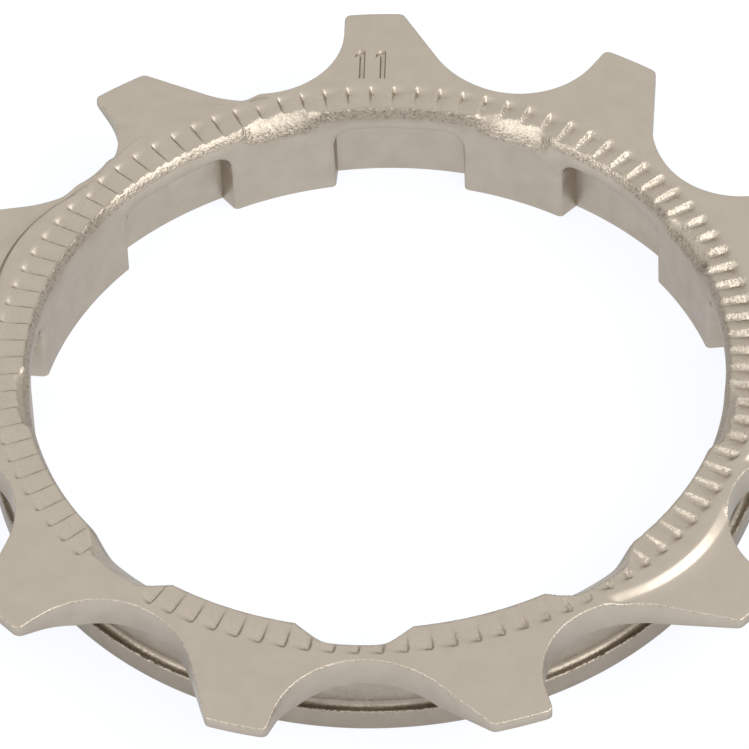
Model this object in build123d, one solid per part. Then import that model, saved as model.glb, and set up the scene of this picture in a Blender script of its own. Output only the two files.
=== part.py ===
from build123d import *
from math import cos, pi, radians, sin, tan
import os

# An 11-tooth top sprocket for a bicycle cassette, forged and machined from one piece of steel.
# The ring slides on the splined freehub body with its flange inward, and the lockring bites
# into the fine ratchet serrations on its outer face.
# The origin is on the bore axis, in the plane of the flange face. +Z points outboard.
# Tooth 1 is on +Y, and every angle is counted clockwise from it, seen from outboard.

# Chain and teeth
TEETH = 11
CHAIN_PITCH = 12.7
SEAT_R = 4.1
TIP_RISE = 0.46
DRIVE_LEAN = 30.2
BLEND_R = 5.2
BLEND_ARC = 35.0
TIP_EDGE_R = 0.32

# Plate that carries the teeth, and the bevels under the tooth tips
HEIGHT = 5.0
PLATE_T = 1.7
TIP_BEVEL_RUN = 3.0
TIP_BEVEL_SLOPE = 20.5

# Splined bore
LAND_R = 16.3
SPLINE_DEPTH = 1.05
SPLINES = 9
SPLINE_W = 6.2
KEY_SPLINE_W = 3.33
KEY_SPLINE = 7
KEY_SHIFT = -5.35
SPLINE_PHASE = 1.8
SPLINE_ROOF_T = 1.3
SPLINE_CORNER_R = 0.9

# Barrel below the plate, and the flange that spaces the next sprocket
BARREL_WALL = 0.5
BARREL_FOOT = 0.3
FLANGE_T = 1.2
FLANGE_STEP = 0.46
EDGE_BREAK = 0.1

# Bevel round the top of the bore
LIP_SETBACK = 0.24
LIP_DROP = 0.57

# Scoops over the lands. Each reaches outward by its own length.
# Land 0 follows pocket 0, and the wide land 7 has no scoop.
SCOOP_RUNS = {0: 0.78, 1: 0.75, 2: 0.85, 3: 1.2, 4: 1.33, 5: 1.3, 6: 0.73, 8: 0.78}
SCOOP_SLOPE = 48.0
SCOOP_FLOOR_W = 3.1
SCOOP_FLANK = 52.0
SCOOP_CORNER_R = 0.4

# Ratchet serrations for the lockring
SERRATIONS = 100
SERRATION_PHASE = 0.42
SERRATION_STEEP = 0.26
SERRATION_LAND = 0.03
SERRATION_DEPTH_IN = 0.05
SERRATION_DEPTH_OUT = 0.3
SERRATION_RUN = 1.87

# Some teeth are pressed inward beyond an arc, so that the chain climbs off them to the next ring.
# Each has its own depth of step.
RELIEF_DEPTHS = {4: 0.4, 5: 0.3, 10: 0.38, 11: 0.5}
RELIEF_EDGE_RISE = 0.4
RELIEF_ARC_R = 8.0
RELIEF_TURN = -1.5
RELIEF_HALF_ARC = 12.6
RELIEF_STEP_SLOPE = 42.0
RELIEF_SLOPE = 4.6
RELIEF_BEVEL_SLOPE = 9.0

PITCH_R = CHAIN_PITCH / 2 / sin(pi / TEETH)
TIP_R = PITCH_R + TIP_RISE
ROOT_R = PITCH_R - SEAT_R
TOOTH_STEP = 360 / TEETH
POCKET_R = LAND_R + SPLINE_DEPTH
BARREL_R = POCKET_R + BARREL_WALL
FLANGE_R = BARREL_R + FLANGE_STEP
LIP_R = LAND_R + LIP_SETBACK
PLATE_Z = HEIGHT - PLATE_T
POCKET_H = HEIGHT - SPLINE_ROOF_T
SERRATION_OUT_R = LAND_R + SERRATION_RUN
RELIEF_EDGE_R = ROOT_R + RELIEF_EDGE_RISE
SPLINE_STEP = 360 / SPLINES
SCOOP_PHASE = SPLINE_PHASE + SPLINE_STEP / 2

# Room by which cutting shapes reach past the steel
CLEAR = 1.0


def on_circle(radius, clockwise, z=0.0):
    """Point at a radius and at an angle counted clockwise from tooth 1."""
    return Vector(radius * sin(radians(clockwise)), radius * cos(radians(clockwise)), z)


def toward(angle, length=1.0):
    """Vector of a length in the plane, at an angle counted from +X towards +Y."""
    return Vector(length * cos(radians(angle)), length * sin(radians(angle)))


def turned(shape, clockwise):
    """Shape turned clockwise about the bore axis."""
    return Rot(0, 0, -clockwise) * shape


def swept(section, half_arc):
    """Solid swept by a section in the plane of +Y and +Z, half an arc to each side of +Y."""
    return turned(revolve(Plane.YZ * section, Axis.Z, 2 * half_arc), half_arc)


def gap_edges():
    """Outline of the gap on +Y, open outwards far past the tips.

    Its right flank is the upright one of the next tooth, and its left flank leans back.
    """
    seat = Vector(0, PITCH_R)
    half_step = TOOTH_STEP / 2
    upright = 90 - half_step
    beyond = TIP_R + CLEAR
    foot = seat + toward(-half_step, SEAT_R)
    lean_normal = 180 + DRIVE_LEAN + half_step
    blend_end = lean_normal + BLEND_ARC
    blend_centre = seat - toward(blend_end, BLEND_R - SEAT_R)
    knee = blend_centre + toward(lean_normal, BLEND_R)
    right_end = foot + toward(upright, beyond)
    left_end = knee + toward(lean_normal - 90, beyond)
    return [
        Line(left_end, knee),
        CenterArc(blend_centre, BLEND_R, lean_normal, BLEND_ARC),
        CenterArc(seat, SEAT_R, blend_end, 360 - half_step - blend_end),
        Line(foot, right_end),
        Line(right_end, left_end),
    ]


def tooth_outline():
    """Face of the whole toothed outline, with the corners of the tips rounded."""
    gap = make_face(gap_edges())
    outline = Circle(TIP_R) - [turned(gap, (tooth + 0.5) * TOOTH_STEP) for tooth in range(TEETH)]
    return offset(offset(outline, -TIP_EDGE_R), TIP_EDGE_R)


def tip_bevel(tooth):
    """Cut that thins one tooth towards its tip from below. A pressed tooth is thinned less."""
    slope = RELIEF_BEVEL_SLOPE if tooth in RELIEF_DEPTHS else TIP_BEVEL_SLOPE
    start_r = TIP_R - TIP_BEVEL_RUN
    outer_r = TIP_R + CLEAR
    section = Polygon(
        (start_r, PLATE_Z),
        (start_r, PLATE_Z - CLEAR),
        (outer_r, PLATE_Z - CLEAR),
        (outer_r, PLATE_Z + (outer_r - start_r) * tan(radians(slope))),
        align=None,
    )
    return turned(swept(section, TOOTH_STEP / 2), (tooth - 1) * TOOTH_STEP)


def toothed_plate():
    """Plate with the teeth, thinned towards the tips from below."""
    plate = Pos(0, 0, PLATE_Z) * extrude(tooth_outline(), PLATE_T)
    return plate - [tip_bevel(tooth) for tooth in range(1, TEETH + 1)]


def hub():
    """Barrel and flange as one turned piece, with a small splay where the two meet."""
    foot = min(BARREL_FOOT, 0.85 * (FLANGE_STEP - EDGE_BREAK))
    section = Polygon(
        (0, 0),
        (FLANGE_R - EDGE_BREAK, 0),
        (FLANGE_R, EDGE_BREAK),
        (FLANGE_R, FLANGE_T - EDGE_BREAK),
        (FLANGE_R - EDGE_BREAK, FLANGE_T),
        (BARREL_R + foot, FLANGE_T),
        (BARREL_R, FLANGE_T + foot),
        (BARREL_R, HEIGHT),
        (0, HEIGHT),
        align=None,
    )
    return revolve(Plane.XZ * section, Axis.Z)


def bore():
    """Round bore, bevelled at its top."""
    section = Polygon(
        (0, -CLEAR),
        (LAND_R, -CLEAR),
        (LAND_R, HEIGHT - LIP_DROP),
        (LIP_R, HEIGHT),
        (LIP_R, HEIGHT + CLEAR),
        (0, HEIGHT + CLEAR),
        align=None,
    )
    return revolve(Plane.XZ * section, Axis.Z)


def spline_pocket(width):
    """Pocket for one spline of the freehub, cut on +Y from the flange face up to its roof."""
    corner = min(SPLINE_CORNER_R, 0.45 * width)
    front = Rectangle(width, POCKET_H + CLEAR, align=(Align.CENTER, Align.MAX))
    front = fillet(front.vertices().group_by(Axis.Y)[-1], corner)
    facing = Plane(origin=(0, POCKET_R + CLEAR, POCKET_H), x_dir=(1, 0, 0), z_dir=(0, -1, 0))
    slot = extrude(facing * front, 2 * CLEAR + SPLINE_DEPTH)
    reach = Pos(0, 0, -CLEAR) * Cylinder(
        POCKET_R, POCKET_H + 2 * CLEAR, align=(Align.CENTER, Align.CENTER, Align.MIN)
    )
    return slot & reach


def spline_pockets():
    """All the pockets. One is narrow and moved aside, so the ring fits in one position only."""
    pockets = []
    for spline in range(SPLINES):
        place = SPLINE_PHASE + spline * SPLINE_STEP
        if spline == KEY_SPLINE:
            pockets.append(turned(spline_pocket(KEY_SPLINE_W), place + KEY_SHIFT))
        else:
            pockets.append(turned(spline_pocket(SPLINE_W), place))
    return pockets


def scoop(run):
    """Sloping groove on +Y that runs down from the outer face into the bore, over a land."""
    slope = radians(SCOOP_SLOPE)
    floor = SCOOP_FLOOR_W / 2
    top = 2 * CLEAR
    spread = floor + top * tan(radians(SCOOP_FLANK))
    section = Polygon((-floor, 0), (floor, 0), (spread, top), (-spread, top), align=None)
    section = fillet(section.vertices().group_by(Axis.Y)[0], SCOOP_CORNER_R)
    downhill = Plane(
        origin=(0, LAND_R + run, HEIGHT),
        x_dir=(1, 0, 0),
        z_dir=(0, -cos(slope), -sin(slope)),
    )
    return extrude(downhill * section, 2 * (run + CLEAR))


def scoops():
    """The scoops, each in the middle of its land."""
    return [turned(scoop(run), SCOOP_PHASE + land * SPLINE_STEP) for land, run in SCOOP_RUNS.items()]


def serration_section(radius, depth):
    """Cut between two ridges at one radius: a steep side, then a long ramp, closed above."""
    step = 360 / SERRATIONS
    left = radius * tan(radians(SERRATION_LAND * step))
    valley = radius * tan(radians(SERRATION_STEEP * step))
    right = radius * tan(radians((1 - SERRATION_LAND) * step))
    return Wire.make_polygon(
        [
            Vector(left, radius, HEIGHT),
            Vector(valley, radius, HEIGHT - depth),
            Vector(right, radius, HEIGHT),
            Vector(right, radius, HEIGHT + depth),
            Vector(left, radius, HEIGHT + depth),
        ]
    )


def serration():
    """Cut of one serration, deepening from the bore towards its outer end."""
    inner = serration_section(LAND_R, SERRATION_DEPTH_IN)
    outer = serration_section(SERRATION_OUT_R, SERRATION_DEPTH_OUT)
    return Solid.make_loft([inner, outer], True)


def serrations():
    """The whole ratchet ring."""
    step = 360 / SERRATIONS
    cut = serration()
    return [turned(cut, SERRATION_PHASE + place * step) for place in range(SERRATIONS)]


def relief(depth):
    """Lowered face of tooth 1: outside an arc, down a short step, then sloping to the tip."""
    outer_r = TIP_R + CLEAR
    inner_r = RELIEF_EDGE_R - 2 * CLEAR
    floor_z = HEIGHT - depth
    fall = tan(radians(RELIEF_SLOPE))
    section = Polygon(
        (inner_r, floor_z + (RELIEF_EDGE_R - inner_r) * fall),
        (outer_r, floor_z - (outer_r - RELIEF_EDGE_R) * fall),
        (outer_r, HEIGHT + CLEAR),
        (inner_r, HEIGHT + CLEAR),
        align=None,
    )
    grow = 1 / tan(radians(RELIEF_STEP_SLOPE))
    below = depth + CLEAR
    boss = Cone(
        RELIEF_ARC_R + grow * below,
        RELIEF_ARC_R - grow * CLEAR,
        below + CLEAR,
        align=(Align.CENTER, Align.CENTER, Align.MIN),
    )
    centre = on_circle(RELIEF_EDGE_R - RELIEF_ARC_R, RELIEF_TURN, HEIGHT - below)
    return swept(section, RELIEF_HALF_ARC) - Pos(*centre) * boss


def reliefs():
    """The lowered faces of all the pressed teeth."""
    return [turned(relief(depth), (tooth - 1) * TOOTH_STEP) for tooth, depth in RELIEF_DEPTHS.items()]


def sprocket():
    """The whole sprocket: plate and hub as one forging, then every cut."""
    blank = toothed_plate() + hub() - bore()
    blank = blank - spline_pockets()
    blank = blank - reliefs()
    blank = blank - scoops()
    return blank - serrations()


os.makedirs("parts", exist_ok=True)
body = sprocket()
export_step(body, "parts/sprocket.step")
print("solids", len(body.solids()), "volume", round(body.volume, 2), "valid", body.is_valid)
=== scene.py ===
# %% [markdown]
# # A bicycle sprocket: one ring of forged and ground steel
# The real part is the smallest sprocket of a cassette. It slides on the splined freehub body,
# carries the chain on 11 teeth, and takes the bite of the lockring on 100 fine ratchet teeth.
# The CAD model fixes every size. It is loaded first, and nothing here moves it.

# %% Load the frame
import math
import bmesh
import bpy
import numpy as np
from mathutils import Matrix, Vector


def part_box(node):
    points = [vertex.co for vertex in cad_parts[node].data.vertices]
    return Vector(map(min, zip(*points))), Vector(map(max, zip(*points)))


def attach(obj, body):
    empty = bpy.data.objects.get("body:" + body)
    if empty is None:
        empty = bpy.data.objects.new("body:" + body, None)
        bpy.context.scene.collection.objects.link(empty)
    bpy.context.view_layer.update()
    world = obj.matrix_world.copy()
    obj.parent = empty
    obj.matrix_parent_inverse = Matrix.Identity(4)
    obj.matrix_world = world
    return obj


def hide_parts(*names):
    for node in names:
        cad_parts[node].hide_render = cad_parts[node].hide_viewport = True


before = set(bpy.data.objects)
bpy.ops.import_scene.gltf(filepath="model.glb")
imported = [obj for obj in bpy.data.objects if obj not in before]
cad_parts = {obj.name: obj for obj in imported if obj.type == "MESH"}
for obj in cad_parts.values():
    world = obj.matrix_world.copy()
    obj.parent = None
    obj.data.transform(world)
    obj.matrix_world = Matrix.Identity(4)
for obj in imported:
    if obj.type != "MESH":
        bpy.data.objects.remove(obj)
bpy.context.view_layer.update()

low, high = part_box("sprocket")
print("CAD box, mm", [round(1000 * v, 2) for v in (*low, *high)])

# %% [markdown]
# ## Sizes
# Every size is in millimetres, as on a maker's drawing, and MM turns it into Blender's metres.
# The height and the tip radius are read from the frame, so the two models cannot drift apart.
# Angles run clockwise from tooth 1, which points along +Y, seen from the outer face.

# %% Sizes of the ring
MM = 0.001
HEIGHT = high.z / MM
TIP_R = high.y / MM
TEETH = 11
CHAIN_PITCH = 12.7
TOOTH_STEP = 360 / TEETH
PITCH_R = CHAIN_PITCH / 2 / math.sin(math.pi / TEETH)
SEAT_R = 4.1
ROOT_R = PITCH_R - SEAT_R
PLATE_Z = HEIGHT - 1.7
LAND_R = 16.3
LIP_R = LAND_R + 0.24
LIP_DROP = 0.57
POCKET_R = LAND_R + 1.05
BARREL_R = POCKET_R + 0.5
FLANGE_R = BARREL_R + 0.46
FLANGE_T = 1.2
print("height", round(HEIGHT, 3), "tip radius", round(TIP_R, 3), "root radius", round(ROOT_R, 3))


def around(radius, clockwise):
    """x and y of points at a radius, at angles counted clockwise from tooth 1."""
    turn = np.radians(clockwise)
    return radius * np.sin(turn), radius * np.cos(turn)


def smooth_step(low_end, high_end, value):
    """0 below the low end, 1 above the high end, and an even curve between them."""
    share = np.clip((value - low_end) / (high_end - low_end), 0.0, 1.0)
    return share * share * (3 - 2 * share)


# %% [markdown]
# ## The outline of the teeth
# Each gap is a seat for one chain roller. Its right flank is upright, and its left flank leans
# back through a wider arc, so the chain can climb. The tips are cut by one circle and their
# corners are rounded. The outline is a list of lines and arcs that a function walks along,
# because even steps along it put as many points on the steep flanks as on the roots.

# %% Lines and arcs of one gap and one tooth
DRIVE_LEAN = 30.2
BLEND_R = 5.2
BLEND_ARC = 35.0
TIP_CORNER_R = 0.32


def toward(angle, length=1.0):
    """Point at a distance from the origin, at an angle counted from +X towards +Y."""
    return length * np.array([math.cos(math.radians(angle)), math.sin(math.radians(angle))])


def spun(point, clockwise):
    """Point turned clockwise about the bore axis."""
    turn = math.radians(clockwise)
    cos, sin = math.cos(turn), math.sin(turn)
    x, y = point
    return np.array([x * cos + y * sin, y * cos - x * sin])


def corner_on(point, ahead, radius):
    """Centre of a tip corner that touches a flank on its right and the tip circle from inside."""
    right = np.array([ahead[1], -ahead[0]])
    start = point + radius * right
    along = start @ ahead
    reach = math.sqrt(along ** 2 - start @ start + (TIP_R - radius) ** 2)
    outward = 1 if point @ ahead > 0 else -1
    return start + (outward * reach - along) * ahead, right


def arc(centre, radius, start, end):
    return {"kind": "arc", "centre": centre, "radius": radius, "start": start, "end": end,
            "length": radius * abs(math.radians(end - start))}


def line(start, end):
    length = float(np.linalg.norm(end - start))
    return {"kind": "line", "start": start, "end": end, "length": length}


def bearing(vector):
    return math.degrees(math.atan2(vector[1], vector[0]))


def one_pitch():
    """The gap on +Y and the tooth to its right, from left to right."""
    half_step = TOOTH_STEP / 2
    corner_r = TIP_CORNER_R
    seat = np.array([0.0, PITCH_R])
    lean_normal = 180 + DRIVE_LEAN + half_step
    blend_end = lean_normal + BLEND_ARC
    blend_centre = seat - toward(blend_end, BLEND_R - SEAT_R)
    knee = blend_centre + toward(lean_normal, BLEND_R)
    foot = seat + toward(-half_step, SEAT_R)
    down = toward(lean_normal + 90)
    up = toward(90 - half_step)
    left_corner, left_right = corner_on(knee, down, corner_r)
    right_corner, right_right = corner_on(foot, up, corner_r)
    next_corner = spun(left_corner, TOOTH_STEP)
    next_out = spun(-left_right, TOOTH_STEP)
    return [
        line(left_corner - corner_r * left_right, knee),
        arc(blend_centre, BLEND_R, lean_normal, blend_end),
        arc(seat, SEAT_R, blend_end, 360 - half_step),
        line(foot, right_corner - corner_r * right_right),
        arc(right_corner, corner_r, bearing(-right_right), bearing(right_corner)),
        arc(np.zeros(2), TIP_R, bearing(right_corner), bearing(next_corner)),
        arc(next_corner, corner_r, bearing(next_corner), bearing(next_out)),
    ]


def walk(pieces, distances):
    """Points on a run of lines and arcs, and the direction square to it that leaves the steel."""
    points = np.zeros((len(distances), 2))
    outward = np.zeros((len(distances), 2))
    begin = 0.0
    for piece in pieces:
        here = (distances >= begin) & (distances <= begin + piece["length"] + 1e-9)
        share = (distances[here] - begin) / piece["length"]
        if piece["kind"] == "line":
            ahead = (piece["end"] - piece["start"]) / piece["length"]
            points[here] = piece["start"] + share[:, None] * (piece["end"] - piece["start"])
            outward[here] = (-ahead[1], ahead[0])
        else:
            turn = np.radians(piece["start"] + share * (piece["end"] - piece["start"]))
            spoke = np.stack([np.cos(turn), np.sin(turn)], 1)
            points[here] = piece["centre"] + piece["radius"] * spoke
            outward[here] = spoke if piece["end"] < piece["start"] else -spoke
        begin += piece["length"]
    return points, outward


pitch_pieces = one_pitch()
pitch_length = sum(piece["length"] for piece in pitch_pieces)
print("outline, mm", round(TEETH * pitch_length, 1), "of it one pitch", round(pitch_length, 2))

# %% [markdown]
# ## Columns and rows
# The ring is one closed skin, like a tyre: columns run round the bore, and rows run round the
# section, from the bore over the outer face, the teeth, the barrel and the flange, and back.
# A grid like this shades cleanly, and its columns can be put exactly where the ratchet teeth
# and the spline pockets have their edges. Each ratchet tooth has 12 columns, and each wall of
# a pocket has one column on the land and one in the pocket.

# %% Columns: the ratchet teeth and the pockets
SERRATIONS = 100
SERRATION_STEP = 360 / SERRATIONS
SERRATION_PHASE = 0.42
SERRATION_VALLEY = 0.2
STEEP_COLUMNS = 4
RAMP_COLUMNS = 8
SPLINES = 9
SPLINE_STEP = 360 / SPLINES
SPLINE_PHASE = 1.8
SPLINE_W = 6.2
KEY_SPLINE = 7
KEY_SPLINE_W = 3.33
KEY_SHIFT = -5.35
steep = np.linspace(0, SERRATION_VALLEY, STEEP_COLUMNS, endpoint=False)
ramp = np.linspace(SERRATION_VALLEY, 1, RAMP_COLUMNS, endpoint=False)
shares = np.concatenate([steep, ramp])
plain = (np.arange(SERRATIONS)[:, None] + shares[None]) * SERRATION_STEP + SERRATION_PHASE
column_at = [(angle % 360, 0) for angle in plain.ravel()]
pockets = []
for spline in range(SPLINES):
    is_key = spline == KEY_SPLINE
    centre = SPLINE_PHASE + spline * SPLINE_STEP + (KEY_SHIFT if is_key else 0)
    width = KEY_SPLINE_W if is_key else SPLINE_W
    half_arc = math.degrees(math.asin(width / 2 / LAND_R))
    pockets.append((centre, width, half_arc))
    for side in (-1, 1):
        wall = centre + side * half_arc
        column_at += [(wall % 360, -side), (wall % 360, side)]
NUDGE = 1e-7
column_at.sort(key=lambda column: column[0] + NUDGE * column[1])
angles = np.array([column[0] for column in column_at])
keys = np.array([column[0] + NUDGE * column[1] for column in column_at])
print("columns", len(angles))

# %% Which columns are in a pocket, and how high its roof is there
SPLINE_ROOF_Z = HEIGHT - 1.3
SPLINE_CORNER_R = 0.9


def angle_from(centre, clockwise):
    """Angle from a centre line, between -180 and 180."""
    return (clockwise - centre + 180) % 360 - 180


in_pocket = np.zeros(len(angles), bool)
back_angles = angles.copy()
roof_z = np.full(len(angles), SPLINE_ROOF_Z - SPLINE_CORNER_R)
for centre, width, half_arc in pockets:
    offset = angle_from(centre, keys)
    inside = np.abs(offset) < half_arc
    across = LAND_R * np.sin(np.radians(offset[inside]))
    into_corner = np.clip(np.abs(across) - (width / 2 - SPLINE_CORNER_R), 0, SPLINE_CORNER_R)
    fall = SPLINE_CORNER_R - np.sqrt(SPLINE_CORNER_R ** 2 - into_corner ** 2)
    in_pocket |= inside
    back_angles[inside] = centre + np.degrees(np.arcsin(across / POCKET_R))
    roof_z[inside] = SPLINE_ROOF_Z - fall
print("columns in pockets", int(in_pocket.sum()))

# %% [markdown]
# ## Faces pressed lower
# Four of the teeth are pressed inward beyond an arc, so that the chain climbs off them to the
# next ring. Each is lowered by a short step, then slopes to its tip, and fades out at the roots.
# Height is a function of place here, so every row can ask how high its points lie.

# %% Height of the outer face and of the underside
RELIEF_DEPTHS = {4: 0.4, 5: 0.3, 10: 0.38, 11: 0.5}
RELIEF_EDGE_R = ROOT_R + 0.4
RELIEF_ARC_R = 8.0
RELIEF_TURN = -1.5
RELIEF_STEP_WIDTHS = {4: 0.5, 5: 0.5, 10: 0.38, 11: 0.38}
STRAIGHT_SHARE = 0.6
RELIEF_FALL = math.tan(math.radians(4.6))
RELIEF_FADE = (10.5, 13.6)
TIP_BEVEL_START_R = TIP_R - 3.0
TIP_BEVEL_FALL = math.tan(math.radians(20.5))
RELIEF_BEVEL_FALL = math.tan(math.radians(9.0))
depth_of = np.array([RELIEF_DEPTHS.get(tooth + 1, 0.0) for tooth in range(TEETH)])
step_w_of = np.array([RELIEF_STEP_WIDTHS.get(tooth + 1, 1.0) for tooth in range(TEETH)])


def nearest_tooth(x, y):
    """Number of the nearest tooth, counted from 0, and the angle from its centre line."""
    clockwise = np.degrees(np.arctan2(x, y))
    tooth = np.round(clockwise / TOOTH_STEP).astype(int)
    return tooth % TEETH, clockwise - tooth * TOOTH_STEP


def relief_centre(tooth):
    return around(RELIEF_EDGE_R - RELIEF_ARC_R, tooth * TOOTH_STEP + RELIEF_TURN)


def face_height(x, y):
    """Height of the outer face, with the pressed teeth."""
    tooth, aside = nearest_tooth(x, y)
    centre_x, centre_y = relief_centre(tooth)
    beyond = np.hypot(x - centre_x, y - centre_y) - RELIEF_ARC_R
    pressed = (depth_of[tooth] > 0) * (1 - smooth_step(*RELIEF_FADE, np.abs(aside)))
    slope = np.maximum(np.hypot(x, y) - RELIEF_EDGE_R, 0) * RELIEF_FALL
    straight = np.clip(beyond / step_w_of[tooth], 0.0, 1.0)
    down = STRAIGHT_SHARE * straight + (1 - STRAIGHT_SHARE) * smooth_step(0, 1, straight)
    return HEIGHT - pressed * down * (depth_of[tooth] + slope)


def underside_height(x, y):
    """Height of the underside of the teeth, which are thinned towards their tips."""
    tooth = nearest_tooth(x, y)[0]
    fall = np.where(depth_of[tooth] > 0, RELIEF_BEVEL_FALL, TIP_BEVEL_FALL)
    return PLATE_Z + np.maximum(np.hypot(x, y) - TIP_BEVEL_START_R, 0) * fall


print("pressed teeth", sorted(RELIEF_DEPTHS), "by up to, mm", max(RELIEF_DEPTHS.values()))

# %% Where the serrations end
SERRATION_OUT_R = LAND_R + 1.87
SERRATION_MARGIN = 0.16
FADE_WIDER = 1.5
WORN_AT = 221.0
WORN_REACH = (4.5, 7.0)
WORN_SHORT = 0.55


def serration_end(clockwise):
    """Outer end of the serrations, shorter beside a pressed tooth and where one land is worn."""
    x, y = around(ROOT_R, clockwise)
    tooth, aside = nearest_tooth(x, y)
    lean = np.radians(aside - RELIEF_TURN)
    centre_r = RELIEF_EDGE_R - RELIEF_ARC_R
    edge_r = centre_r * np.cos(lean) + np.sqrt(RELIEF_ARC_R ** 2 - (centre_r * np.sin(lean)) ** 2)
    short = np.maximum(SERRATION_OUT_R - edge_r + SERRATION_MARGIN, 0)
    fade_from, fade_to = RELIEF_FADE
    fade = 1 - smooth_step(fade_from + FADE_WIDER, fade_to + FADE_WIDER, np.abs(aside))
    worn = WORN_SHORT * (1 - smooth_step(*WORN_REACH, np.abs(clockwise - WORN_AT)))
    return SERRATION_OUT_R - short * fade * (depth_of[tooth] > 0) - worn


end_r = serration_end(angles)
print("serrations end at, mm", round(float(end_r.min()), 2), "to", round(float(end_r.max()), 2))

# %% [markdown]
# ## Rows of the section
# Each row is a closed line round the ring. Rows lie close together where the section turns, so
# that an edge gets a small round as ground steel has, and far apart on flat and straight parts.

# %% Rows of the bore
rows = []


def add_row(name, x, y, z):
    rows.append((name, np.stack([x, y, z + np.zeros(len(x))], 1)))


def add_ring(name, radius, z, clockwise=angles):
    add_row(name, *around(radius + np.zeros(len(clockwise)), clockwise), z)


POCKET_EDGE_R = 0.25
NEAR_POCKET = 30
FAR = 99.0


def from_pocket(z):
    """Distance on the bore wall from the nearest pocket's opening, 0 on its edge."""
    nearest = np.full(len(angles), FAR)
    for centre, width, half_arc in pockets:
        offset = angle_from(centre, angles)
        aside = np.abs(LAND_R * np.radians(offset)) - (width / 2 - SPLINE_CORNER_R)
        above = z - (SPLINE_ROOF_Z - SPLINE_CORNER_R)
        inside = np.minimum(np.maximum(aside, above), 0)
        away = np.hypot(np.maximum(aside, 0), np.maximum(above, 0)) + inside - SPLINE_CORNER_R
        nearest = np.minimum(nearest, np.where(np.abs(offset) < NEAR_POCKET, away, FAR))
    return np.maximum(nearest, 0)


def wall_radius(z):
    """Radius of the bore wall, which rounds off into each pocket."""
    short = np.maximum(POCKET_EDGE_R - from_pocket(z), 0)
    return LAND_R + POCKET_EDGE_R - np.sqrt(POCKET_EDGE_R ** 2 - short ** 2)


BACK_SHARE = 0.7
LIP_FOOT = 0.05
LIP_FOOT_Z = HEIGHT - LIP_DROP - LIP_FOOT
EDGE_SHARES = (0.0, 0.03)
WALL_SHARES = (0.08, 0.16, 0.3, 0.6)
bottom_z = np.zeros(len(angles))
bottom_r = np.where(in_pocket, POCKET_R, wall_radius(bottom_z))
low_z = np.where(in_pocket, roof_z, BACK_SHARE * (SPLINE_ROOF_Z - SPLINE_CORNER_R))
add_ring("bore bottom", bottom_r, 0.0, back_angles)
add_ring("pocket roof back", bottom_r, low_z, back_angles)
for name, wall_shares in (("pocket edge", EDGE_SHARES), ("bore wall", WALL_SHARES)):
    for share in wall_shares:
        wall_z = roof_z + share * (LIP_FOOT_Z - roof_z)
        add_ring(name, wall_radius(wall_z), wall_z)
print("rows in the bore", len(rows))

# %% [markdown]
# ## The lip of the bore
# On the real ring the edge between the bore and the face is round over two stretches, and torn
# to a steeper bevel on the rest. A Bevel modifier would give one edge all the way round, so two
# profiles are written down here, each as steps out from the bore and down from the face, and
# every column takes its own blend of the two.

# %% The lip, round on two stretches and torn on the rest
ROUND_LIP = ((0.0, 0.58), (0.03, 0.46), (0.085, 0.34), (0.155, 0.22), (0.235, 0.115),
             (0.315, 0.035), (0.39, 0.0))
TORN_LIP = ((0.0, 0.6), (0.03, 0.5), (0.075, 0.39), (0.12, 0.28), (0.165, 0.17),
            (0.205, 0.07), (0.25, 0.0))
ROUND_STRETCHES = ((303, 311, 332, 346), (12, 21, 40, 52))
roundness = sum(
    smooth_step(begins, is_full, angles) * (1 - smooth_step(fades, ends, angles))
    for begins, is_full, fades, ends in ROUND_STRETCHES
)
for (round_in, round_drop), (torn_in, torn_drop) in zip(ROUND_LIP, TORN_LIP):
    lip_r = LAND_R + torn_in + roundness * (round_in - torn_in)
    add_ring("lip", lip_r, HEIGHT - torn_drop - roundness * (round_drop - torn_drop))
print("columns on the round lip", int((roundness > 0.5).sum()))

# %% The serrated face
FACE_ROWS = 16
PLAIN_FACE_FROM = 0.04
for row in range(1, FACE_ROWS + 1):
    add_ring("serrated face", lip_r + (end_r - lip_r) * row / FACE_ROWS, HEIGHT)
face_r = end_r + PLAIN_FACE_FROM
add_ring("face", face_r, HEIGHT)
print("rows so far", len(rows))

# %% [markdown]
# ## Over the teeth and back under them
# The outline is walked once more, with one point for each column. Rows on a face lie on straight
# rays from the serrations to the outline, so they spread out evenly into each tooth, and five of
# them follow the arc of a pressed step. The rows then turn over a small edge, run down the side
# and return below the teeth, which are thinned towards their tips, to the barrel and the flange.

# %% Outline points, one for each column
tip_middle = sum(piece["length"] for piece in pitch_pieces[:5]) + pitch_pieces[5]["length"] / 2
root_middle = pitch_pieces[0]["length"] + pitch_pieces[1]["length"]
root_middle += SEAT_R * math.radians(270 - pitch_pieces[2]["start"])
half = TOOTH_STEP / 2
pitch_number = np.floor((angles - half) / TOOTH_STEP).astype(int)
into_pitch = angles - half - pitch_number * TOOTH_STEP
stations = [root_middle, tip_middle, root_middle + pitch_length]
along = np.interp(into_pitch, [0, half, TOOTH_STEP], stations)
wrapped = along >= pitch_length
points, outward = walk(pitch_pieces, np.where(wrapped, along - pitch_length, along))
spin = np.radians(half + (pitch_number + wrapped) * TOOTH_STEP)
turning = np.array([[np.cos(spin), np.sin(spin)], [-np.sin(spin), np.cos(spin)]])
outline = np.einsum("abn,nb->na", turning, points)
normals = np.einsum("abn,nb->na", turning, outward)
spacing = np.linalg.norm(np.diff(outline, axis=0), axis=1)
print("outline spacing, mm", round(float(spacing.max()), 3))

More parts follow.
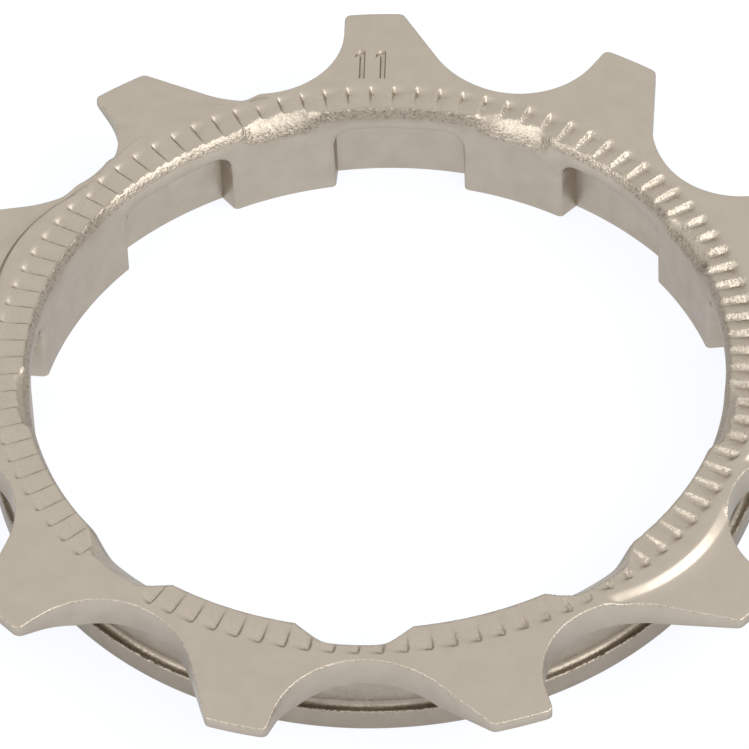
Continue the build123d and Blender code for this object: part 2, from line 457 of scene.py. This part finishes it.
# %% Rows over the teeth, with five rows down each pressed step
TOP_EDGE_R = 0.08
STEP_ROWS = (0, 0.25, 0.5, 0.75, 1)
STEP_MIDDLE = (3, 4)
inset = outline - TOP_EDGE_R * normals
inner = np.stack(around(face_r, angles), 1)
ray = inset - inner
tooth = nearest_tooth(*inset.T)[0]
centre = np.stack(relief_centre(tooth), 1)


def share_to_circle(start, ray, centre, radius):
    """Share of each ray at which it leaves a circle, at most 1."""
    from_centre = start - centre
    a = (ray ** 2).sum(1)
    b = (ray * from_centre).sum(1)
    c = (from_centre ** 2).sum(1) - radius ** 2
    root = np.sqrt(np.maximum(b * b - a * c, 0))
    return np.clip((root - b) / a, 0.0, 1.0)


def share_down_step(down):
    """Share of each ray at a share of the step's width. A plain tooth has even rows there."""
    on_step = share_to_circle(inner, ray, centre, RELIEF_ARC_R + down * step_w_of[tooth])
    return np.where(depth_of[tooth] > 0, on_step, 0.3 + 0.2 * down)


step_shares = [share_down_step(down) for down in STEP_ROWS]
over_teeth = [0.5 * step_shares[0]] + step_shares
over_teeth += [step_shares[-1] + (1 - step_shares[-1]) * out for out in STEP_ROWS[1:]]
for row, share in enumerate(over_teeth):
    x, y = (inner + share[:, None] * ray).T
    add_row("pressed step" if row in STEP_MIDDLE else "tooth face", x, y, face_height(x, y))
print("rows over the teeth", len(over_teeth))

# %% Rows down the side of the teeth and under them
LOW_EDGE_R = 0.06
BELOW_EDGE = 0.07
top_z = rows[-1][1][:, 2]
for turn in (30, 60, 90):
    back = TOP_EDGE_R * (1 - math.sin(math.radians(turn)))
    drop = TOP_EDGE_R * (1 - math.cos(math.radians(turn)))
    x, y = (outline - back * normals).T
    add_row("top edge", x, y, top_z - drop)
add_row("tooth side", *outline.T, top_z - TOP_EDGE_R - BELOW_EDGE)
low_inset = outline - LOW_EDGE_R * normals
low_z = underside_height(*low_inset.T)
for turn in (0, 45, 90):
    back = LOW_EDGE_R * (1 - math.cos(math.radians(turn)))
    rise = LOW_EDGE_R * (1 - math.sin(math.radians(turn)))
    x, y = (outline - back * normals).T
    add_row("low edge", x, y, low_z + rise)
barrel = np.stack(around(BARREL_R, angles), 1)
under_ray = low_inset - barrel
bevel_share = share_to_circle(barrel, under_ray, 0.0, TIP_BEVEL_START_R)
for share in (0.5 + 0.5 * bevel_share, bevel_share, 0.4 * bevel_share):
    x, y = (barrel + share[:, None] * under_ray).T
    add_row("underside", x, y, underside_height(x, y))
print("rows so far", len(rows))

# %% Rows down the barrel and the flange
FOOT_R = 0.3
FLANGE_EDGE_R = 0.08
FOOT_TURNS = (0, 22.5, 45, 67.5, 90)
add_ring("barrel top", BARREL_R, PLATE_Z)
for turn in FOOT_TURNS:
    out = FOOT_R * (1 - math.cos(math.radians(turn)))
    add_ring("barrel foot", BARREL_R + out, FLANGE_T + FOOT_R * (1 - math.sin(math.radians(turn))))
for name, corner_z, turns in (("flange top edge", FLANGE_T - FLANGE_EDGE_R, (90, 45, 0)),
                              ("flange side", FLANGE_T - FLANGE_EDGE_R - BELOW_EDGE, (0,)),
                              ("flange low edge", FLANGE_EDGE_R, (0, -45, -90))):
    for turn in turns:
        out = FLANGE_EDGE_R * math.cos(math.radians(turn))
        rise = FLANGE_EDGE_R * math.sin(math.radians(turn))
        add_ring(name, FLANGE_R - FLANGE_EDGE_R + out, corner_z + rise)
print("rows", len(rows), "points", len(rows) * len(angles))

# %% [markdown]
# ## From rows to a skin
# Neighbouring rows are joined by four-sided faces, and the last row joins the first, so the skin
# is closed. On the lands some points fall together, and they are merged. Each point also carries
# five numbers. The cutting tree reads where the serrations end, how far out a scoop starts, and
# how hard the ratchet teeth bite there. The shader reads a painted shade, which darkens the bore
# walls, the pockets, the torn lip, two pressed steps, the underside, the barrel and the flange,
# and the nicks on the edges count as coarse skin.

# %% How far out each scoop starts
SCOOP_RUNS = {0: 0.78, 1: 0.75, 2: 0.85, 3: 1.2, 4: 1.33, 5: 1.3, 6: 0.73, 8: 0.78}
SCOOP_PHASE = SPLINE_PHASE + SPLINE_STEP / 2
NO_SCOOP = 0.0
land_of = np.round((angles - SCOOP_PHASE) / SPLINE_STEP).astype(int) % SPLINES
scoop_r_of = np.array([
    LAND_R + SCOOP_RUNS[land] if land in SCOOP_RUNS else NO_SCOOP for land in range(SPLINES)
])
scoop_r = scoop_r_of[land_of]
print("scoops", len(SCOOP_RUNS), "of", SPLINES, "lands")

# %% How hard the ratchet teeth bite
BITE_AT = 78
BITE_FOCUS = 1.5
ratchet_bite = np.maximum(np.cos(np.radians(angles - BITE_AT)), 0) ** BITE_FOCUS
print("columns that bite", int((ratchet_bite > 0.5).sum()))

# %% Painted shade on each row: darker bore walls, pockets, torn lip, underside, barrel and flange
# Painted shade: these shares darken the base colour of walls, the underside, the barrel and the
# flange, where shade falls.
BORE_SHADE = 0.12
SHADED_ROWS = {"bore bottom": BORE_SHADE, "pocket roof back": BORE_SHADE, "bore wall": BORE_SHADE,
             "low edge": 0.15, "underside": 0.3, "barrel top": 0.25, "barrel foot": 0.5,
             "flange top edge": 0.4, "flange side": 0.5, "flange low edge": 0.5}
# Painted shade also on the steps of two pressed teeth, on the torn stretch of the lip and inside
# the pockets.
STEP_SHADE = 0.25
TORN_LIP_SHADE = 0.3
POCKET_SHADE = 0.35
SHADED_STEPS = (10, 11)
NICKED_ROWS = {"top edge": 0.9, "flange top edge": 0.9, "barrel foot": 0.3}
shaded_step = np.isin(tooth + 1, SHADED_STEPS)


def painted_shade_of(name):
    """Share of painted shade on a row: darker on the bore walls, in the pockets, on the torn lip,
    on two pressed steps and under the teeth.
    """
    if name == "pressed step":
        return STEP_SHADE * shaded_step
    if name == "lip":
        return TORN_LIP_SHADE * (1 - roundness)
    if name == "pocket edge":
        return BORE_SHADE + POCKET_SHADE * in_pocket
    return np.full(len(angles), SHADED_ROWS.get(name, 0.0))


# Counts the rows that carry painted shade.
print("dull rows", sum(name in SHADED_ROWS for name, points in rows), "of", len(rows))

# %% The plain ring
MERGE_WITHIN = 0.0005


def join_rows(name, rows):
    """Mesh of a closed grid, with the numbers that the cutting tree and the shader read."""
    grid = np.stack([points for label, points in rows]) * MM
    row_count, column_count = grid.shape[:2]
    number = np.arange(row_count * column_count).reshape(row_count, column_count)
    right = np.roll(number, -1, 1)
    up = np.roll(number, -1, 0)
    across = np.roll(up, -1, 1)
    faces = np.stack([number, up, across, right], -1).reshape(-1, 4)
    mesh = bpy.data.meshes.new(name)
    mesh.from_pydata(grid.reshape(-1, 3), [], faces.tolist())
    nicked = [NICKED_ROWS.get(label, 0.0) for label, points in rows]
    numbers = {
        "serration_end": np.tile(end_r * MM, row_count),
        "scoop_radius": np.tile(scoop_r * MM, row_count),
        "ratchet_bite": np.tile(ratchet_bite, row_count),
        # Share of painted shade on each point, which the shader mixes into the base colour.
        "painted_shade": np.concatenate([painted_shade_of(label) for label, points in rows]),
        "nicked_edge": np.repeat(nicked, column_count),
    }
    for label, value in numbers.items():
        attribute = mesh.attributes.new(label, "FLOAT", "POINT")
        attribute.data.foreach_set("value", value.astype(np.float32))
    body = bmesh.new()
    body.from_mesh(mesh)
    bmesh.ops.remove_doubles(body, verts=body.verts, dist=MERGE_WITHIN * MM)
    bmesh.ops.recalc_face_normals(body, faces=body.faces)
    body.to_mesh(mesh)
    body.free()
    return mesh


plain_mesh = join_rows("plain_ring", rows)
ring = bpy.data.objects.new("sprocket_ring", plain_mesh)
bpy.context.scene.collection.objects.link(ring)
print("faces", len(plain_mesh.polygons), "points", len(plain_mesh.vertices))

# %% [markdown]
# ## Ratchet serrations and scoops
# What repeats round the ring is cut by a Geometry Nodes tree. It only lowers points: each point
# takes the lowest of its own height, the height of the ratchet there, and the height of the
# scoop there. It also stores how coarse the steel is, for the shader. The field class writes
# node sums as plain arithmetic, which keeps them readable.

# %% Arithmetic with nodes
class Field:
    """A value that flows through a node tree. Sums of fields become Math nodes."""

    def __init__(self, tree, socket):
        self.tree = tree
        self.socket = socket

    def math(self, operation, *others):
        node = self.tree.nodes.new("ShaderNodeMath")
        node.operation = operation
        for slot, value in zip(node.inputs, (self, *others)):
            if isinstance(value, Field):
                self.tree.links.new(value.socket, slot)
            else:
                slot.default_value = value
        return Field(self.tree, node.outputs[0])

    def __add__(self, other):
        return self.math("ADD", other)

    def __sub__(self, other):
        return self.math("SUBTRACT", other)

    def __mul__(self, other):
        return self.math("MULTIPLY", other)

    def __truediv__(self, other):
        return self.math("DIVIDE", other)

    def lowest(self, other):
        return self.math("MINIMUM", other)

    def highest(self, other):
        return self.math("MAXIMUM", other)

    def clamped(self):
        return self.math("MAXIMUM", 0.0).math("MINIMUM", 1.0)

    def eased(self):
        """Smooth start and end for a share between 0 and 1."""
        return self * self * (self * -2.0 + 3.0)


# %% Inputs of the tree
END_WALL = 0.45
INNER_DEPTH = 0.06
OUTER_DEPTH = 0.3
BITE_DEPTH = 0.12
BITE_SHARE = 0.1
SCOOP_HALF_W = 1.5
SCOOP_SLOPE = math.radians(48)
SCOOP_FLANK = math.radians(52)
SCOOP_SOFTNESS = 0.4
SCOOP_EDGE = 0.3
CUT_INPUTS = {
    "Top": HEIGHT * MM,
    "Serrations": SERRATIONS,
    "Serration phase": math.radians(SERRATION_PHASE),
    "Valley share": SERRATION_VALLEY,
    "Inner radius": LIP_R * MM,
    "Outer radius": SERRATION_OUT_R * MM,
    "Inner depth": INNER_DEPTH * MM,
    "Bite depth": BITE_DEPTH * MM,
    "Bite share": BITE_SHARE,
    "Outer depth": OUTER_DEPTH * MM,
    "End wall": END_WALL * MM,
    "Lip drop": LIP_DROP * MM,
    "Scoops": SPLINES,
    "Scoop phase": math.radians(SCOOP_PHASE),
    "Scoop slope": math.tan(SCOOP_SLOPE),
    "Scoop half width": SCOOP_HALF_W * MM,
    "Scoop flank": 1 / math.tan(SCOOP_FLANK) / math.cos(SCOOP_SLOPE),
    "Scoop softness": SCOOP_SOFTNESS * MM,
    "Scoop edge": SCOOP_EDGE * MM,
    "Bore radius": LAND_R * MM,
}
print("inputs of the tree", len(CUT_INPUTS))

# %% Height of the ratchet
VALLEY_FADE = 0.05
CREST_AT = 0.97
CREST_FADE = 0.02


def ratchet(size, radius, clockwise, end, bite):
    """Height of the ratchet, how deep it is cut, and whether a point lies on a steep side."""
    turn = (clockwise - size["Serration phase"]) * size["Serrations"] / math.tau
    place = turn.math("FRACT")
    valley = size["Valley share"] + size["Bite share"] * bite
    falling = (place / valley).clamped().eased()
    rising = (place * -1.0 + 1.0) / (valley * -1.0 + 1.0)
    tooth_share = falling.lowest(rising)
    out = (radius - size["Inner radius"]) / (size["Outer radius"] - size["Inner radius"])
    inner_depth = size["Inner depth"] + size["Bite depth"] * bite
    depth = inner_depth + (size["Outer depth"] - inner_depth) * out
    within = ((end - radius) / size["End wall"]).clamped().eased()
    height = size["Top"] - depth * tooth_share * within
    in_valley = ((valley - place) / VALLEY_FADE + 1.0).clamped()
    at_crest = ((place - CREST_AT) / CREST_FADE).clamped()
    return height, depth * within, in_valley.highest(at_crest)


# %% Height of the scoops
def scoop(size, radius, clockwise, start):
    """Height of the scoop, and how near a point is to the bore, where the scoop rounds off."""
    turn = (clockwise - size["Scoop phase"]) * size["Scoops"] / math.tau
    place = (turn - turn.math("ROUND")) * math.tau / size["Scoops"]
    across = (radius * place.math("SINE")).math("ABSOLUTE") - size["Scoop half width"]
    inward = start - radius * place.math("COSINE")
    softness = size["Scoop softness"]
    softened = (across * across + softness * softness).math("SQRT")
    floor = size["Top"] - inward * size["Scoop slope"]
    height = floor + (across + softened) * 0.5 * size["Scoop flank"]
    to_edge = ((size["Bore radius"] - radius) / size["Scoop edge"] + 1.0).clamped()
    return height - to_edge * to_edge * size["Scoop edge"] * 0.5, to_edge


# %% How coarse the skin is
EDGE_FADE = 0.05 * MM
FACE_SKIN = 0.02 * MM
DEEP_CUT = 0.2 * MM
RAMP_COARSE = 0.24
STEEP_COARSE = 0.2
BITE_COARSE = 0.55


def coarse_scoop(z, scoop_z, to_edge):
    return ((z - scoop_z) / EDGE_FADE).clamped() * (to_edge * 0.5 + 0.5)


def coarse_lip(size, radius, z):
    above_foot = ((z - size["Top"] + size["Lip drop"]) / EDGE_FADE).clamped()
    below_top = ((size["Top"] - z) / EDGE_FADE).clamped()
    near_bore = ((size["Inner radius"] - radius) / EDGE_FADE + 3.0).clamped()
    return above_foot * below_top * near_bore


def coarse_ratchet(size, z, cut, steep, bite, on_lip):
    on_face = ((z - size["Top"]) / FACE_SKIN + 1.0).clamped()
    on_ratchet = (cut / DEEP_CUT).clamped() * on_lip.highest(on_face)
    return on_ratchet * (steep * (bite * BITE_COARSE + STEEP_COARSE) + RAMP_COARSE)


# %% The tree that cuts the face
def group_with_inputs():
    tree = bpy.data.node_groups.new("cut_serrations_and_scoops", "GeometryNodeTree")
    tree.interface.new_socket("Ring", in_out="INPUT", socket_type="NodeSocketGeometry")
    for name in CUT_INPUTS:
        tree.interface.new_socket(name, in_out="INPUT", socket_type="NodeSocketFloat")
    tree.interface.new_socket("Steel", in_out="INPUT", socket_type="NodeSocketMaterial")
    tree.interface.new_socket("Ring", in_out="OUTPUT", socket_type="NodeSocketGeometry")
    return tree


def stored(tree, name):
    """A number that the plain ring stores on each point."""
    node = tree.nodes.new("GeometryNodeInputNamedAttribute")
    node.inputs["Name"].default_value = name
    return Field(tree, node.outputs["Attribute"])


def cutting_tree():
    tree = group_with_inputs()
    nodes, links = tree.nodes, tree.links
    given = nodes.new("NodeGroupInput")
    size = {name: Field(tree, given.outputs[name]) for name in CUT_INPUTS}
    parts = nodes.new("ShaderNodeSeparateXYZ")
    links.new(nodes.new("GeometryNodeInputPosition").outputs[0], parts.inputs[0])
    x, y, z = (Field(tree, socket) for socket in parts.outputs)
    radius = (x * x + y * y).math("SQRT")
    clockwise = x.math("ARCTAN2", y)
    bite = stored(tree, "ratchet_bite")
    end = stored(tree, "serration_end")
    ratchet_z, cut, steep = ratchet(size, radius, clockwise, end, bite)
    scoop_z, to_edge = scoop(size, radius, clockwise, stored(tree, "scoop_radius"))
    lowered = z.lowest(ratchet_z).lowest(scoop_z)

    on_lip = coarse_lip(size, radius, z)
    coarse = coarse_scoop(z, scoop_z, to_edge).highest(on_lip)
    coarse = coarse.highest(coarse_ratchet(size, z, cut, steep, bite, on_lip))
    coarse = coarse.highest(stored(tree, "nicked_edge"))
    mark = nodes.new("GeometryNodeStoreNamedAttribute")
    mark.data_type = "FLOAT"
    mark.domain = "POINT"
    mark.inputs["Name"].default_value = "coarse_skin"
    links.new(given.outputs["Ring"], mark.inputs["Geometry"])
    links.new(coarse.socket, mark.inputs["Value"])

    joined = nodes.new("ShaderNodeCombineXYZ")
    for field, slot in zip((x, y, lowered), joined.inputs):
        links.new(field.socket, slot)
    move = nodes.new("GeometryNodeSetPosition")
    links.new(mark.outputs[0], move.inputs["Geometry"])
    links.new(joined.outputs[0], move.inputs["Position"])
    real = nodes.new("GeometryNodeRealizeInstances")
    links.new(move.outputs[0], real.inputs[0])
    paint = nodes.new("GeometryNodeSetMaterial")
    links.new(real.outputs[0], paint.inputs["Geometry"])
    links.new(given.outputs["Steel"], paint.inputs["Material"])
    links.new(paint.outputs[0], nodes.new("NodeGroupOutput").inputs[0])
    return tree


# %% [markdown]
# ## Satin steel
# The real ring is nickel-plated steel with a warm satin sheen. Its faces were tumbled smooth,
# and the lip, the scoops and the edges are coarse. A painted shade darkens the turned walls, the
# underside, the barrel and the flange. The shader is metallic. Noise on Object coordinates makes
# grain and pebbles as bump, and clouds in the tint and the roughness. Two values stored on the
# points say how coarse the steel is and how much painted shade it carries.

# %% Noise and stored values for the shader
def stored_on_skin(tree, name):
    node = tree.nodes.new("ShaderNodeAttribute")
    node.attribute_name = name
    return Field(tree, node.outputs["Fac"])


def noise(tree, place, scale, detail):
    """Noise on Object coordinates. Its scale is in cells per metre."""
    node = tree.nodes.new("ShaderNodeTexNoise")
    node.inputs["Scale"].default_value = scale
    node.inputs["Detail"].default_value = detail
    tree.links.new(place.outputs["Object"], node.inputs["Vector"])
    return Field(tree, node.outputs["Fac"])


def mapped(value, from_min, from_max, to_min, to_max):
    """A value moved from one range to another, and kept within it."""
    node = value.tree.nodes.new("ShaderNodeMapRange")
    limits = {"From Min": from_min, "From Max": from_max, "To Min": to_min, "To Max": to_max}
    for name, number in limits.items():
        node.inputs[name].default_value = number
    value.tree.links.new(value.socket, node.inputs["Value"])
    return Field(value.tree, node.outputs["Result"])


# %% The steel material
STEEL_COLOUR = (0.505, 0.445, 0.368, 1.0)
# Dark colour for the grain pits and also for the painted shade on walls, underside, barrel and
# flange.
PIT_AND_SHADE_COLOUR = (0.2, 0.165, 0.125, 1.0)
EDGE_TINT = (0.7, 0.7, 0.7, 1.0)
GRAIN_CELLS = 8000.0
PEBBLE_CELLS = 3200.0
CLOUD_CELLS = 900.0
GRAIN_RISE = 0.00004
PEBBLE_RISE = 0.00005
PIT_RANGE = (0.5, 0.34)
MOST_PITS = 0.45
CLOUD_RANGE = (0.3, 0.7)
MOST_CLOUD = 0.1
ROUGHNESS = (0.3, 0.42)
BUMP_STRENGTH = (0.07, 1.0)


def steel():
    material = bpy.data.materials.new("satin_steel")
    material.use_nodes = True
    tree = material.node_tree
    nodes, links = tree.nodes, tree.links
    shader = nodes["Principled BSDF"]
    shader.inputs["Metallic"].default_value = 1.0
    shader.inputs["Specular Tint"].default_value = EDGE_TINT
    place = nodes.new("ShaderNodeTexCoord")
    coarse = stored_on_skin(tree, "coarse_skin")
    grain = noise(tree, place, GRAIN_CELLS, 2.0)
    pebble = noise(tree, place, PEBBLE_CELLS, 2.0)
    cloud = noise(tree, place, CLOUD_CELLS, 3.0)

    pits = mapped(grain, *PIT_RANGE, 0.0, MOST_PITS) * coarse
    # Painted shade stored on the points, plus random clouds of tone, darkens the base colour.
    shade_and_mottle = stored_on_skin(tree, "painted_shade") + mapped(cloud, *CLOUD_RANGE, 0.0, MOST_CLOUD)
    tint = nodes.new("ShaderNodeMix")
    tint.data_type = "RGBA"
    tint.inputs["A"].default_value = STEEL_COLOUR
    tint.inputs["B"].default_value = PIT_AND_SHADE_COLOUR
    links.new((pits + shade_and_mottle).socket, tint.inputs["Factor"])
    links.new(tint.outputs["Result"], shader.inputs["Base Color"])
    roughness = mapped(cloud, *CLOUD_RANGE, *ROUGHNESS)
    links.new(roughness.socket, shader.inputs["Roughness"])

    strength = mapped(coarse, 0.0, 1.0, *BUMP_STRENGTH)
    bumps = []
    for height, rise in ((pebble, PEBBLE_RISE), (grain, GRAIN_RISE)):
        bump = nodes.new("ShaderNodeBump")
        bump.inputs["Distance"].default_value = rise
        links.new(strength.socket, bump.inputs["Strength"])
        links.new(height.socket, bump.inputs["Height"])
        if bumps:
            links.new(bumps[-1].outputs["Normal"], bump.inputs["Normal"])
        bumps.append(bump)
    links.new(bumps[-1].outputs["Normal"], shader.inputs["Normal"])
    return material


satin_steel = steel()
print("nodes in the steel", len(satin_steel.node_tree.nodes))

# %% Cut the ring
cutter = ring.modifiers.new("cut", "NODES")
cutter.node_group = cutting_tree()
for item in cutter.node_group.interface.items_tree:
    if item.in_out == "INPUT" and item.name in CUT_INPUTS:
        cutter[item.identifier] = CUT_INPUTS[item.name]
    if item.in_out == "INPUT" and item.name == "Steel":
        cutter[item.identifier] = satin_steel
depsgraph = bpy.context.evaluated_depsgraph_get()
cut_mesh = bpy.data.meshes.new_from_object(ring.evaluated_get(depsgraph))
print("nodes in the tree", len(cutter.node_group.nodes))
ring.modifiers.remove(cutter)
ring.data = cut_mesh
print("cut ring: faces", len(cut_mesh.polygons), "points", len(cut_mesh.vertices))

# %% [markdown]
# ## The stamped number of teeth
# The number 11 is stamped into the face of tooth 1. A stamp pushes steel aside, and the groove
# that stays has sloping sides. Its shape is cut from the ring with a Boolean, because it has to
# be a real groove that catches the light.

# %% Stamp the number
STAMP_DEPTH = 0.12
STAMP_LOW_R = 18.52
STAMP_HIGH_R = 20.45
STROKE_W = 0.28
FLAG_REACH = 0.22
FLAG_TOP = STAMP_HIGH_R - 0.24
FLAG_LOW = STAMP_HIGH_R - 0.5
FLAG_JOINS = STAMP_HIGH_R - 0.34
STAMP_LEVELS = ((HEIGHT - STAMP_DEPTH, -0.06), (HEIGHT, 0.0), (HEIGHT + 0.2, 0.1))
DIGIT_PLACES = (-1.3, -0.3)


def stamp_digit(body, place):
    """Tapered block in the shape of a 1. Each level has a height and grows by its second number."""
    half = STROKE_W / 2
    flag = -half - FLAG_REACH
    middle = (STAMP_LOW_R + STAMP_HIGH_R) / 2
    stroke = [(-half, STAMP_LOW_R), (half, STAMP_LOW_R), (half, STAMP_HIGH_R),
              (-half, STAMP_HIGH_R), (flag, FLAG_TOP), (flag, FLAG_LOW), (-half, FLAG_JOINS)]
    levels = []
    for z, growth in STAMP_LEVELS:
        grown = [(x + growth * np.sign(x), y + growth * np.sign(y - middle)) for x, y in stroke]
        levels.append([body.verts.new(((place + x) * MM, y * MM, z * MM)) for x, y in grown])
    for below, above in zip(levels, levels[1:]):
        for i in range(len(stroke)):
            j = (i + 1) % len(stroke)
            body.faces.new((below[i], below[j], above[j], above[i]))
    body.faces.new(levels[0][::-1])
    body.faces.new(levels[-1])


stamp_mesh = bpy.data.meshes.new("stamp")
stamp_body = bmesh.new()
for place in DIGIT_PLACES:
    stamp_digit(stamp_body, place)
bmesh.ops.recalc_face_normals(stamp_body, faces=stamp_body.faces)
stamp_body.to_mesh(stamp_mesh)
stamp_body.free()
stamp = bpy.data.objects.new("stamp", stamp_mesh)
bpy.context.scene.collection.objects.link(stamp)
groove = ring.modifiers.new("groove", "BOOLEAN")
groove.operation = "DIFFERENCE"
groove.solver = "EXACT"
groove.object = stamp
depsgraph = bpy.context.evaluated_depsgraph_get()
stamped_mesh = bpy.data.meshes.new_from_object(ring.evaluated_get(depsgraph))
ring.modifiers.remove(groove)
ring.data = stamped_mesh
bpy.data.objects.remove(stamp)
print("stamped ring: faces", len(stamped_mesh.polygons), "before", len(cut_mesh.polygons))

# %% [markdown]
# ## Clean shading
# Flat ground faces meet small round edges here, and plain smooth shading would bend the light
# across both. Weighted normals keep the large faces flat, and an edge sharper than 45 degrees
# stays sharp.

# %% Sharp edges and clean shading
SHARP_ANGLE = math.radians(45)
for face in stamped_mesh.polygons:
    face.use_smooth = True
stamped_mesh.set_sharp_from_angle(angle=SHARP_ANGLE)
weighted = ring.modifiers.new("weighted", "WEIGHTED_NORMAL")
weighted.keep_sharp = True
depsgraph = bpy.context.evaluated_depsgraph_get()
shaded_mesh = bpy.data.meshes.new_from_object(ring.evaluated_get(depsgraph))
ring.modifiers.remove(weighted)
ring.data = shaded_mesh
triangles = sum(len(face.vertices) - 2 for face in shaded_mesh.polygons)
print("triangles", triangles)
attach(ring, "root")
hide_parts("sprocket")

# %% [markdown]
# ## Floor, light and camera
# The ring lies on its flange on a white table, as in a catalogue photograph. Soft lamps stand at
# the right, at the front right and the front left, and a weak one hangs above, so that the
# ratchet teeth and the scoops shine while the flat faces mirror the plain white studio.

# %% Floor
REACH = 1.5
TABLE_Z = -0.02 * MM
TABLE_COLOUR = (0.2, 0.2, 0.2, 1)
TABLE_GLOW = (0.92, 0.945, 1.0, 1)
GLOW_STRENGTH = 0.9
floor_mesh = bpy.data.meshes.new("table_top")
corners = [(x * REACH, y * REACH, TABLE_Z) for x, y in ((-1, -1), (1, -1), (1, 1), (-1, 1))]
floor_mesh.from_pydata(corners, [], [(0, 1, 2, 3)])
table_top = bpy.data.objects.new("table_top", floor_mesh)
bpy.context.scene.collection.objects.link(table_top)
white = bpy.data.materials.new("white_table")
white.use_nodes = True
paint = white.node_tree.nodes["Principled BSDF"].inputs
paint["Base Color"].default_value = TABLE_COLOUR
paint["Roughness"].default_value = 0.9
paint["Emission Color"].default_value = TABLE_GLOW
paint["Emission Strength"].default_value = GLOW_STRENGTH
floor_mesh.materials.append(white)
print("table, m", 2 * REACH, "at height, mm", TABLE_Z / MM)

# %% World
SKY = (1, 1, 1, 1)
SKY_LIGHT = 0.6
SKY_SEEN = 1.0


def studio_world():
    """Soft light from all sides, and plain white where the camera or the steel looks at it."""
    world = bpy.data.worlds.new("studio")
    world.use_nodes = True
    tree = world.node_tree
    nodes, links = tree.nodes, tree.links
    light = nodes["Background"]
    light.inputs["Color"].default_value = SKY
    light.inputs["Strength"].default_value = SKY_LIGHT
    seen = nodes.new("ShaderNodeBackground")
    seen.inputs["Color"].default_value = SKY
    seen.inputs["Strength"].default_value = SKY_SEEN
    path = nodes.new("ShaderNodeLightPath")
    from_camera = Field(tree, path.outputs["Is Camera Ray"])
    in_gloss = Field(tree, path.outputs["Is Glossy Ray"])
    through_glass = Field(tree, path.outputs["Is Transmission Ray"])
    mix = nodes.new("ShaderNodeMixShader")
    links.new(from_camera.highest(in_gloss).highest(through_glass).socket, mix.inputs[0])
    links.new(light.outputs[0], mix.inputs[1])
    links.new(seen.outputs[0], mix.inputs[2])
    links.new(mix.outputs[0], nodes["World Output"].inputs["Surface"])
    return world


bpy.context.scene.world = studio_world()
print("light of the sky", SKY_LIGHT, "and seen as", SKY_SEEN)

# %% Lamps
LAMP_AWAY = 0.6


def toward_sky(turn, rise):
    """Place of a lamp: turn counted from +X towards +Y, rise above the floor, both in degrees."""
    level = LAMP_AWAY * math.cos(math.radians(rise))
    return (level * math.cos(math.radians(turn)), level * math.sin(math.radians(turn)),
            LAMP_AWAY * math.sin(math.radians(rise)))


def lamp(name, turn, rise, size, watts):
    """Square soft lamp that faces the ring."""
    light = bpy.data.lights.new(name, "AREA")
    light.size = size
    light.energy = watts
    place = toward_sky(turn, rise)
    unit = bpy.data.objects.new(name, light)
    unit.location = place
    unit.rotation_euler = (-Vector(place)).to_track_quat("-Z", "Y").to_euler()
    bpy.context.scene.collection.objects.link(unit)


lamp("lamp_right", turn=0, rise=41, size=0.25, watts=0.7)
lamp("lamp_front_right", turn=-38, rise=35, size=0.38, watts=0.95)
lamp("lamp_front_left", turn=-140, rise=35, size=0.32, watts=0.68)
lamp("lamp_above", turn=-72, rise=52, size=0.25, watts=0.15)
print("lamps", len(bpy.data.lights))

# %% Camera
CAMERA_PLACE = (16.08 * MM, -246.2 * MM, 271.18 * MM)
LOOKS_DOWN = 47.28
CAMERA_ROLL = -2.702
CAMERA_TURN = 3.767
FOCAL_LENGTH = 373.5
SENSOR_W = 36
NEAREST = 0.01
lens = bpy.data.cameras.new("camera")
lens.lens = FOCAL_LENGTH
lens.sensor_width = SENSOR_W
lens.clip_start = NEAREST
camera = bpy.data.objects.new("camera", lens)
aim = Matrix.Rotation(math.radians(CAMERA_TURN), 4, "Z")
aim = aim @ Matrix.Rotation(math.radians(90 - LOOKS_DOWN), 4, "X")
aim = aim @ Matrix.Rotation(math.radians(CAMERA_ROLL), 4, "Z")
camera.matrix_world = Matrix.Translation(CAMERA_PLACE) @ aim
bpy.context.scene.collection.objects.link(camera)
bpy.context.scene.camera = camera
bpy.context.scene.view_settings.view_transform = "Standard"
print("camera from the origin, mm", round(camera.matrix_world.translation.length / MM, 1))
